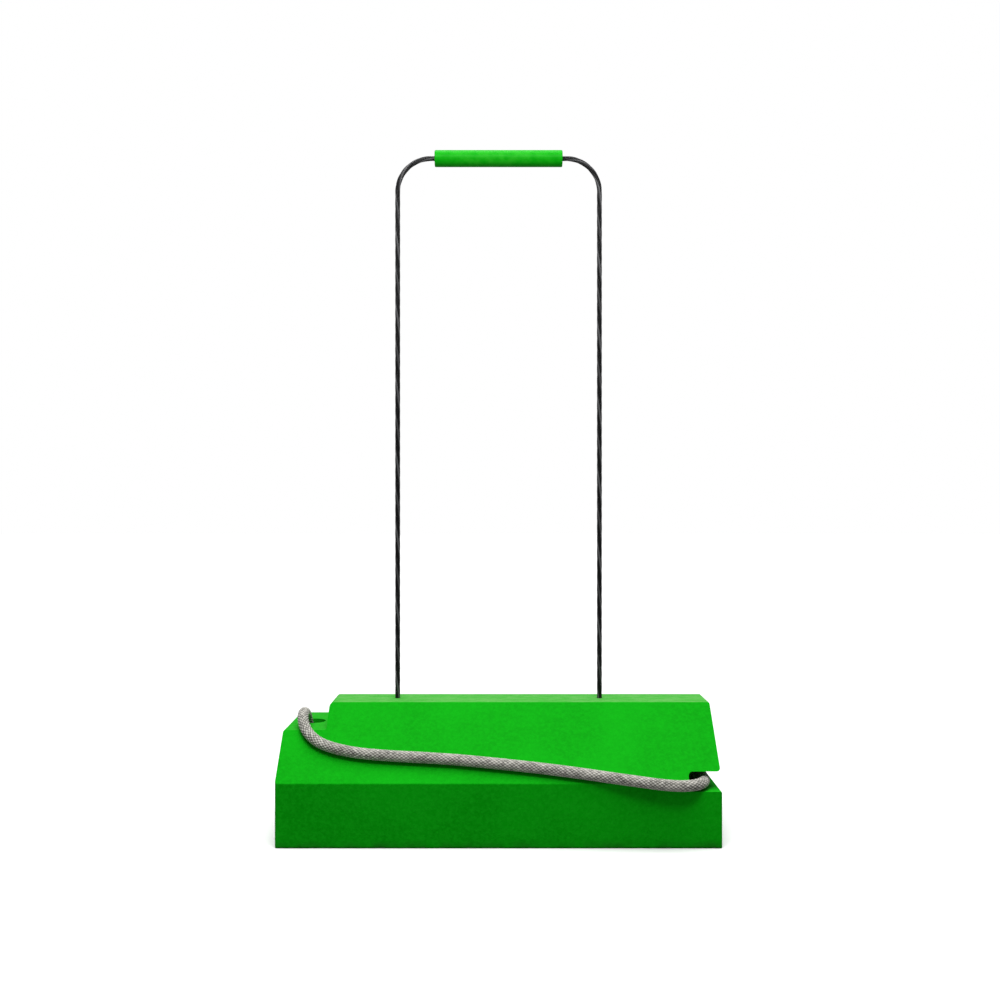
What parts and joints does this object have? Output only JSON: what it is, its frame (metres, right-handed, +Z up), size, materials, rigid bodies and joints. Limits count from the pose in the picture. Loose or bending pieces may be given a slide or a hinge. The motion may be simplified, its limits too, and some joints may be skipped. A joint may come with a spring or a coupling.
{
  "type": "chock block with carrying handle",
  "caption": "Moulded wedge-sided ground block with a tall twisted-cable carrying handle, a sleeve grip, and a rope held by an ear bore at one end and a slot at the other.",
  "frame": {"origin": "middle of the block's base, on the ground", "axes": "+X along the block towards the slot end, +Y towards the back, where the rope's end knot is, +Z up along the handle"},
  "size_m": [0.454, 0.2838, 0.732],
  "materials": {
    "block_plastic": "matte moulded, faintly mottled, with light scuffs on the flat top and edges",
    "cable": "black-coated steel strands twisted together, satin",
    "grip_plastic": "satin extruded tube",
    "ferrule_metal": "swaged, dull",
    "washer_steel": "plain zinc-plated",
    "plug_rubber": "matte",
    "rope_braid": "fine warm grey braid"
  },
  "bodies": {
    "block": {"block_body": "block_plastic", "handle_cable": "cable", "left_ferrule": "ferrule_metal", "right_ferrule": "ferrule_metal", "anchor_washers": "washer_steel", "left_base_plug": "plug_rubber", "right_base_plug": "plug_rubber", "rope": "rope_braid", "ear_knot": "rope_braid", "slot_knot": "rope_braid"},
    "grip": {"grip_sleeve": "grip_plastic"}
  },
  "joints": [
    {"name": "grip_spin", "type": "hinge", "parent": "block", "child": "grip", "pos_m": [0, 0, 0.723], "axis": [1, 0, 0], "continuous": true}
  ]
}
